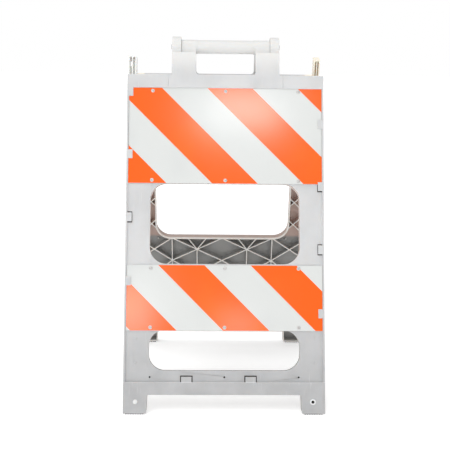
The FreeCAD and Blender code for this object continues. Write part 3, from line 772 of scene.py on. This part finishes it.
@dataclass(frozen=True)
class PadRubber:
    """Dull black rubber, dusty where it has stood on the road.

    Attributes:
        rubber: Colour of the rubber.
        grey_patch: Colour of the dirt on it.
    """

    rubber: Colour = (0.022, 0.022, 0.023)
    grey_patch: Colour = (0.14, 0.13, 0.12)

    def material(self) -> bpy.types.Material:
        """Mix the finish.

        Returns:
            The material.
        """
        shader = Shader("pad_rubber")
        dusty = shader.fade(shader.noise(180.0, 6.0), 0.42, 0.78, 0.0, 0.8)
        shader.join(shader.mix(dusty, self.rubber, self.grey_patch), shader.surface.inputs["Base Color"])
        shader.join(shader.fade(dusty, 0.0, 1.0, 0.62, 0.9), shader.surface.inputs["Roughness"])
        shader.bump((shader.noise(2400.0, 3.0), 0.00008))
        return shader.material


@dataclass(frozen=True)
class PaleFloor:
    """Plain matt studio floor.

    Attributes:
        paint: Its colour.
        worn: Colour of its very faint patches.
        glow: How brightly it is lit from below.
    """

    paint: Colour = (0.92, 0.92, 0.92)
    worn: Colour = (0.89, 0.89, 0.89)
    glow: float = 0.36

    def material(self) -> bpy.types.Material:
        """Mix the finish.

        Returns:
            The material.
        """
        shader = Shader("pale_floor")
        colour = shader.mix(shader.noise(3.0, 4.0), self.paint, self.worn)
        shader.join(colour, shader.surface.inputs["Base Color"])
        shader.set(Roughness=0.9, Emission_Color=(1.0, 1.0, 1.0, 1.0), Emission_Strength=self.glow)
        return shader.material


WHITE_FILM = PrismaticSheeting("white_sheeting", film=(0.635, 0.65, 0.635), seal=(0.49, 0.50, 0.51),
                               faded=(0.565, 0.58, 0.575), coat=0.22)
ORANGE_FILM = PrismaticSheeting("orange_film", film=(0.98, 0.112, 0.001), seal=(0.74, 0.075, 0.002),
                                faded=(0.98, 0.140, 0.004))
RIVET_METAL = Metal("rivet_metal", (0.62, 0.61, 0.60), (0.46, 0.45, 0.44), 0.55, 0.75)
ROD_STEEL = Metal("rod_steel", (0.62, 0.63, 0.65), (0.36, 0.36, 0.36), 0.28, 0.5, (0.05, 1.0, 1.0))


class Bench:
    """Short calls round the modelling operators."""

    @staticmethod
    def pick(piece: Piece) -> None:
        """Make a piece the only one selected.

        Args:
            piece: The piece.
        """
        bpy.ops.object.select_all(action="DESELECT")
        piece.select_set(True)
        bpy.context.view_layer.objects.active = piece

    @staticmethod
    def start(name: str) -> Piece:
        """Name the primitive that was just added and pick it.

        Args:
            name: What it is called.

        Returns:
            The new piece.
        """
        piece = bpy.context.active_object
        piece.name = name
        piece.data.name = name
        Bench.pick(piece)
        return piece

    @staticmethod
    def choose(piece: Piece, wanted: Callable[[bmesh.types.BMFace], bool]) -> None:
        """Select faces in edit mode.

        Args:
            piece: The piece being edited.
            wanted: Whether a face is picked.
        """
        bpy.ops.mesh.select_mode(type="FACE")
        bpy.ops.mesh.select_all(action="DESELECT")
        mesh = bmesh.from_edit_mesh(piece.data)
        for face in mesh.faces:
            face.select_set(wanted(face))
        bmesh.update_edit_mesh(piece.data)

    @staticmethod
    def turn_out(start: tuple[float, float], steps: Sequence[tuple[float, float]]) -> None:
        """Draw the picked round face out along Z, step by step.

        Args:
            start: The face's radius and height.
            steps: Radius and height after each step.
        """
        radius, height = start
        for wider, level in steps:
            bpy.ops.mesh.extrude_region_move(TRANSFORM_OT_translate={"value": (0.0, 0.0, level - height)})
            factor = wider / radius
            bpy.ops.transform.resize(value=(factor, factor, 1.0), center_override=(0.0, 0.0, level))
            radius, height = wider, level

    @staticmethod
    def apply(piece: Piece, kind: str, **settings: float | int | str | bool) -> None:
        """Add a modifier and apply it.

        Args:
            piece: The piece it goes on.
            kind: The modifier's type.
            settings: Its settings by name.
        """
        Bench.pick(piece)
        modifier = piece.modifiers.new(kind.lower(), kind)
        for name, amount in settings.items():
            setattr(modifier, name, amount)
        bpy.ops.object.modifier_apply(modifier=modifier.name)

    @staticmethod
    def soften(piece: Piece, width: float, angle: float = 40.0, clamped: bool = True) -> None:
        """Round off the edges sharper than an angle in degrees."""
        Bench.apply(piece, "BEVEL", width=width, segments=2, limit_method="ANGLE",
                    angle_limit=math.radians(angle), use_clamp_overlap=clamped)

    @staticmethod
    def repeat(pattern: Piece, name: str, places: Sequence[Matrix]) -> Piece:
        """Copy a piece to several places and join the copies.

        Args:
            pattern: The piece, modelled at the origin.
            name: What the joined piece is called.
            places: Where each copy goes.

        Returns:
            The joined piece.
        """
        copies = []
        for place in places:
            copy = pattern.copy()
            copy.data = pattern.data.copy()
            copy.data.transform(place)
            bpy.context.collection.objects.link(copy)
            copies.append(copy)
        Bench.pick(copies[0])
        for copy in copies[1:]:
            copy.select_set(True)
        bpy.ops.object.join()
        copies[0].name = name
        copies[0].data.name = name
        return copies[0]

    @staticmethod
    def smooth(piece: Piece, angle: float) -> None:
        """Shade a piece smooth except across edges sharper than an angle in degrees."""
        Bench.pick(piece)
        bpy.ops.object.shade_smooth_by_angle(angle=math.radians(angle))

    @staticmethod
    def dress(piece: Piece, material: bpy.types.Material) -> None:
        """Give a piece one material all over."""
        piece.data.materials.clear()
        piece.data.materials.append(material)


@dataclass
class LeafShell:
    """A leaf's whole moulding, with the soft edges that it has out of the mould.

    Attributes:
        leaf: The leaf it is.
        edge: Width of the softened edges.
        finish: Its finish.
    """

    leaf: Leaf
    edge: float = 0.0005
    finish: MouldedPlastic = field(default_factory=MouldedPlastic)

    def build(self) -> Piece:
        """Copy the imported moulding, merge it and soften its edges.

        Returns:
            The finished shell.
        """
        side = self.leaf.side
        node = frame["nodes"][f"{side.value}_leaf_moulding"]
        shell = node.copy()
        shell.data = node.data.copy()
        shell.name = f"{side.value}_leaf_shell"
        shell.parent = None
        shell.matrix_world = Matrix.Identity(4)
        bpy.context.collection.objects.link(shell)
        Bench.pick(shell)
        bpy.ops.object.mode_set(mode="EDIT")
        bpy.ops.mesh.customdata_custom_splitnormals_clear()
        bpy.ops.mesh.select_all(action="SELECT")
        bpy.ops.mesh.remove_doubles(threshold=1e-6)
        bpy.ops.object.mode_set(mode="OBJECT")
        Bench.soften(shell, self.edge, clamped=False)
        Bench.smooth(shell, 35.0)
        Bench.apply(shell, "WEIGHTED_NORMAL", weight=100, keep_sharp=True)
        Bench.dress(shell, self.finish.material(self.leaf))
        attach(shell, side.body)
        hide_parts(node.name)
        return shell


@dataclass
class BlindRivets:
    """The set blind rivets of one board.

    Attributes:
        leaf: The leaf they are on.
        rail: The rail they hold.
        columns: How many there are along the board.
        head_radius: Radius of the head's flange.
        head_height: Height of the head.
        shank_radius: Radius of the shank.
        tail_radius: Radius of the set tail.
        tail_length: Length of the tail behind the skin.
    """

    leaf: Leaf
    rail: Rail
    columns: int = 3
    head_radius: float = 0.0055
    head_height: float = 0.0017
    shank_radius: float = 0.0024
    tail_radius: float = 0.0039
    tail_length: float = 0.005

    def pattern(self, grip: float) -> Piece:
        """Model one rivet standing on the film, head up.

        Args:
            grip: Thickness of everything it holds together.

        Returns:
            The rivet.
        """
        flange = 0.25 * self.head_height
        bpy.ops.object.select_all(action="DESELECT")
        bpy.ops.mesh.primitive_cylinder_add(vertices=32, radius=self.head_radius, depth=flange,
                                            location=(0.0, 0.0, flange / 2))
        rivet = Bench.start("rivet_pattern")
        bpy.ops.object.transform_apply(location=True)
        bpy.ops.object.mode_set(mode="EDIT")
        Bench.choose(rivet, lambda face: face.normal.z > SQUARE_ON)
        radius, height = self.head_radius, self.head_height
        dome = [(radius * math.cos(angle) + 0.0004, flange + (height - flange) * math.sin(angle))
                for angle in (math.radians(degrees) for degrees in (12, 30, 48, 66))]
        hole = [(0.0017, height), (0.0016, 0.55 * height), (0.0013, 0.50 * height)]
        mandrel = [(0.0012, 0.82 * height), (0.0008, 0.86 * height)]
        Bench.turn_out((radius, flange), dome + hole + mandrel)
        Bench.choose(rivet, lambda face: face.normal.z < -SQUARE_ON)
        bulb = [(0.94, 0.12), (1.0, 0.35), (0.97, 0.62), (0.80, 0.84), (0.52, 0.94), (0.30, 1.0)]
        shank = [(self.shank_radius, 0.0), (self.shank_radius, -grip), (0.8 * self.tail_radius, -grip)]
        tail = [(share * self.tail_radius, -grip - depth * self.tail_length) for share, depth in bulb]
        Bench.turn_out((radius, 0.0), shank + tail)
        bpy.ops.object.mode_set(mode="OBJECT")
        Bench.smooth(rivet, 38.0)
        return rivet

    def build(self, material: bpy.types.Material) -> Piece:
        """Set the rivets along the top and the bottom of the board.

        Args:
            material: Their finish.

        Returns:
            All the board's rivets as one piece.
        """
        side = self.leaf.side
        node = f"{side.value}_{self.rail.value}_rivets"
        span = self.leaf.span(node)
        film = span.out[1] - self.head_height
        grip = film - span.out[0] - self.tail_length
        pattern = self.pattern(grip)
        left, right = span.across[0] + self.head_radius, span.across[1] - self.head_radius
        pitch = (right - left) / (self.columns - 1)
        rows = (span.down[0] + self.head_radius, span.down[1] - self.head_radius)
        places = [self.leaf.stand(left + column * pitch, down, film)
                  for down in rows for column in range(self.columns)]
        rivets = Bench.repeat(pattern, f"{node}_set", places)
        bpy.data.objects.remove(pattern)
        Bench.dress(rivets, material)
        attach(rivets, side.body)
        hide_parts(node)
        return rivets


@dataclass
class FootPads:
    """The two ribbed rubber pads under a leaf's feet.

    Attributes:
        side: The leaf they are under.
        strips: Ribs and grooves along a pad.
        groove: Depth of the grooves.
        edge: Width of the softened edges.
    """

    side: Side
    strips: int = 15
    groove: float = 0.0011
    edge: float = 0.0003

    def build(self, material: bpy.types.Material) -> Piece:
        """Model one pad and repeat it under the other foot.

        Args:
            material: Their finish.

        Returns:
            Both pads as one piece.
        """
        node = f"{self.side.value}_foot_pads"
        low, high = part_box(node)
        vertices = [vertex.co for vertex in frame["nodes"][node].data.vertices]
        inner = min(point.x for point in vertices if point.x > 0.0)
        width, depth, height = high.x - inner, high.y - low.y, high.z - low.z
        bpy.ops.object.select_all(action="DESELECT")
        bpy.ops.mesh.primitive_grid_add(x_subdivisions=self.strips, y_subdivisions=1, size=1.0)
        pad = Bench.start("pad_pattern")
        bpy.ops.object.mode_set(mode="EDIT")
        bpy.ops.mesh.select_all(action="SELECT")
        bpy.ops.transform.resize(value=(width, depth, 1.0), center_override=(0.0, 0.0, 0.0))
        bpy.ops.transform.translate(value=(0.0, 0.0, self.groove))
        bpy.ops.mesh.flip_normals()
        bpy.ops.mesh.extrude_region_move(TRANSFORM_OT_translate={"value": (0.0, 0.0, height - self.groove)})
        pitch = width / self.strips

        def is_rib(face: bmesh.types.BMFace) -> bool:
            """Whether a face is the underside of every other strip."""
            place = face.calc_center_median()
            return (abs(face.normal.z) > SQUARE_ON and place.z < height / 2
                    and round((place.x + width / 2) / pitch - 0.5) % 2 == 0)

        Bench.choose(pad, is_rib)
        bpy.ops.mesh.extrude_region_move(TRANSFORM_OT_translate={"value": (0.0, 0.0, -self.groove)})
        bpy.ops.mesh.select_all(action="SELECT")
        bpy.ops.mesh.normals_make_consistent(inside=False)
        bpy.ops.object.mode_set(mode="OBJECT")
        Bench.soften(pad, self.edge)
        middle = (low.y + high.y) / 2
        places = [Matrix.Translation((sign * (inner + high.x) / 2, middle, low.z)) for sign in (-1.0, 1.0)]
        pads = Bench.repeat(pad, f"{self.side.value}_ribbed_pads", places)
        bpy.data.objects.remove(pad)
        Bench.smooth(pads, 35.0)
        Bench.dress(pads, material)
        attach(pads, self.side.body)
        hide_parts(node)
        return pads


@dataclass
class RodCaps:
    """The pressed steel caps pushed over the ends of the hinge rod.

    Attributes:
        flange: Thickness of the flange.
        crown: Radius of the crown, as a share of the flange's.
        edge: Width of the softened edges.
    """

    flange: float = 0.0009
    crown: float = 0.80
    edge: float = 0.00015

    def build(self, material: bpy.types.Material) -> Piece:
        """Model one cap and put one on each end of the rod.

        Args:
            material: Their finish.

        Returns:
            Both caps as one piece.
        """
        low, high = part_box("hinge_rod_caps")
        vertices = [vertex.co for vertex in frame["nodes"]["hinge_rod_caps"].data.vertices]
        inner = min(point.x for point in vertices if point.x > 0.0)
        radius, length, height = (high.z - low.z) / 2, high.x - inner, (high.z + low.z) / 2
        rod_low, rod_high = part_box("hinge_rod")
        bore, seat = (rod_high.z - rod_low.z) / 2, rod_high.x - inner
        bpy.ops.object.select_all(action="DESELECT")
        bpy.ops.mesh.primitive_cylinder_add(vertices=48, radius=radius, depth=self.flange,
                                            location=(0.0, 0.0, self.flange / 2))
        cap = Bench.start("cap_pattern")
        bpy.ops.object.transform_apply(location=True)
        bpy.ops.object.mode_set(mode="EDIT")
        Bench.choose(cap, lambda face: face.normal.z > SQUARE_ON)
        crown = self.crown * radius
        rise = length - self.flange
        dome = [(crown * math.cos(angle), self.flange + rise * (0.55 + 0.45 * math.sin(angle)))
                for angle in (math.radians(degrees) for degrees in (0, 22, 45, 68, 84))]
        Bench.turn_out((radius, self.flange), [(crown, self.flange), *dome])
        Bench.choose(cap, lambda face: face.normal.z < -SQUARE_ON)
        Bench.turn_out((radius, 0.0), [(bore, 0.0), (bore, seat)])
        bpy.ops.object.mode_set(mode="OBJECT")
        Bench.soften(cap, self.edge, 50.0)
        places = [Matrix.Translation((end * inner, 0.0, height)) @ Matrix.Rotation(end * math.pi / 2, 4, "Y")
                  for end in (-1.0, 1.0)]
        caps = Bench.repeat(cap, "push_on_caps", places)
        bpy.data.objects.remove(cap)
        Bench.smooth(caps, 35.0)
        Bench.dress(caps, material)
        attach(caps, Side.FRONT.body)
        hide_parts("hinge_rod_caps")
        return caps


@dataclass
class Studio:
    """The floor, the lights and the camera.

    Attributes:
        floor_radius: Radius of the floor.
        sky: Brightness of the room as a light.
        sun: Brightness of the light from above.
        sun_spread: How wide that light is, in degrees, which softens its shadows.
        place: Where the camera stands.
        yaw: Angle that it is turned towards +X, in degrees.
        pitch: Angle that it looks down, in degrees.
        roll: Angle that it is tilted to one side, in degrees.
        lens: Its focal length in millimetres.
    """

    floor_radius: float = 40.0
    sky: float = 0.62
    sun: float = 1.3
    sun_spread: float = 50.0
    place: Place = (-0.0660, -2.8723, 1.0941)
    yaw: float = 1.41
    pitch: float = 11.26
    roll: float = -0.66
    lens: float = 69.9

    def floor(self) -> None:
        """Lay the floor."""
        bpy.ops.object.select_all(action="DESELECT")
        bpy.ops.mesh.primitive_circle_add(vertices=96, radius=self.floor_radius, fill_type="NGON")
        floor = Bench.start("studio_floor")
        Bench.dress(floor, PaleFloor().material())

    def room(self) -> None:
        """Surround the floor with even light, white to look at and dimmer as a light."""
        world = bpy.data.worlds.new("studio_room")
        world.use_nodes = True
        nodes, links = world.node_tree.nodes, world.node_tree.links
        path = nodes.new("ShaderNodeLightPath")
        strength = nodes.new("ShaderNodeMapRange")
        strength.inputs["To Min"].default_value = self.sky
        strength.inputs["To Max"].default_value = 1.0
        links.new(path.outputs["Is Camera Ray"], strength.inputs["Value"])
        links.new(strength.outputs["Result"], nodes["Background"].inputs["Strength"])
        nodes["Background"].inputs["Color"].default_value = (1.0, 1.0, 1.0, 1.0)
        bpy.context.scene.world = world

    def lamp(self, name: str, place: Place, aim: Place, size: tuple[float, float], power: float) -> None:
        """Hang one soft rectangular light.

        Args:
            name: What it is called.
            place: Where it hangs.
            aim: The point it faces.
            size: Its width and height.
            power: Its power in watts.
        """
        data = bpy.data.lights.new(name, "AREA")
        data.shape = "RECTANGLE"
        data.size, data.size_y = size
        data.energy = power
        light = bpy.data.objects.new(name, data)
        light.location = place
        light.rotation_euler = (Vector(aim) - Vector(place)).to_track_quat("-Z", "Y").to_euler()
        bpy.context.collection.objects.link(light)

    def overhead(self) -> None:
        """Light the floor and the tops evenly from above, with soft shadows to the right."""
        data = bpy.data.lights.new("overhead_light", "SUN")
        data.energy = self.sun
        data.angle = math.radians(self.sun_spread)
        light = bpy.data.objects.new("overhead_light", data)
        light.rotation_euler = Vector((0.30, 0.16, -1.0)).to_track_quat("-Z", "Y").to_euler()
        bpy.context.collection.objects.link(light)

    def lights(self) -> None:
        """Hang the key light and the three that glance off the film."""
        self.overhead()
        self.lamp("key_light", (-2.2, -2.6, 3.2), (0.0, 0.0, 0.6), (1.6, 1.6), 10.0)
        self.lamp("upper_glance", (0.20, -3.2, 2.62), (0.06, -0.09, 0.92), (0.58, 0.26), 15.5)
        self.lamp("lower_glance", (-0.55, -3.2, 1.13), (-0.26, -0.26, 0.33), (0.30, 0.36), 6.5)
        self.lamp("middle_glance", (0.16, -3.2, 1.02), (0.04, -0.27, 0.27), (0.26, 0.14), 2.0)

    def camera(self) -> None:
        """Set up the camera."""
        yaw, pitch, roll = (math.radians(angle) for angle in (self.yaw, self.pitch, self.roll))
        ahead = Vector((math.sin(yaw) * math.cos(pitch), math.cos(yaw) * math.cos(pitch), -math.sin(pitch)))
        level = Vector((math.cos(yaw), -math.sin(yaw), 0.0))
        under = ahead.cross(level)
        right = math.cos(roll) * level + math.sin(roll) * under
        below = math.cos(roll) * under - math.sin(roll) * level
        data = bpy.data.cameras.new("camera")
        data.lens = self.lens
        camera = bpy.data.objects.new("camera", data)
        turn = Matrix((right, -below, -ahead)).transposed().to_4x4()
        camera.matrix_world = Matrix.Translation(self.place) @ turn
        bpy.context.collection.objects.link(camera)
        bpy.context.scene.camera = camera

    def build(self) -> None:
        """Set up the whole studio."""
        self.floor()
        self.room()
        self.lights()
        self.camera()
        bpy.context.scene.view_settings.view_transform = "Standard"


@dataclass
class Barricade:
    """The whole barricade.

    Attributes:
        leaves: Its two leaves.
    """

    leaves: tuple[Leaf, ...] = field(default_factory=lambda: tuple(Leaf.from_frame(side) for side in Side))

    def dress_rails(self, leaf: Leaf) -> None:
        """Give a leaf's boards and sheeting their finishes."""
        finishes = {"rail_board": RailBoard().material(leaf), "white_sheeting": WHITE_FILM.material(leaf),
                    "orange_stripes": ORANGE_FILM.material(leaf)}
        for rail in Rail:
            for layer, material in finishes.items():
                Bench.dress(frame["nodes"][f"{leaf.side.value}_{rail.value}_{layer}"], material)

    def build(self) -> None:
        """Build and dress every piece, and report each one."""
        rivet_metal, rod_steel, rubber = RIVET_METAL.material(), ROD_STEEL.material(), PadRubber().material()
        for leaf in self.leaves:
            self.report(LeafShell(leaf).build())
            self.dress_rails(leaf)
            for rail in Rail:
                self.report(BlindRivets(leaf, rail).build(rivet_metal))
            self.report(FootPads(leaf.side).build(rubber))
        Bench.dress(frame["nodes"]["hinge_rod"], rod_steel)
        self.report(RodCaps().build(rod_steel))

    def report(self, piece: Piece) -> None:
        """Say how large a finished piece's mesh is."""
        LOG.info("%s: %d faces", piece.name, len(piece.data.polygons))


def main() -> None:
    """Build the barricade and its studio."""
    logging.basicConfig(level=logging.INFO, format="%(name)s: %(message)s")
    Barricade().build()
    Studio().build()


if __name__ == "__main__":
    main()
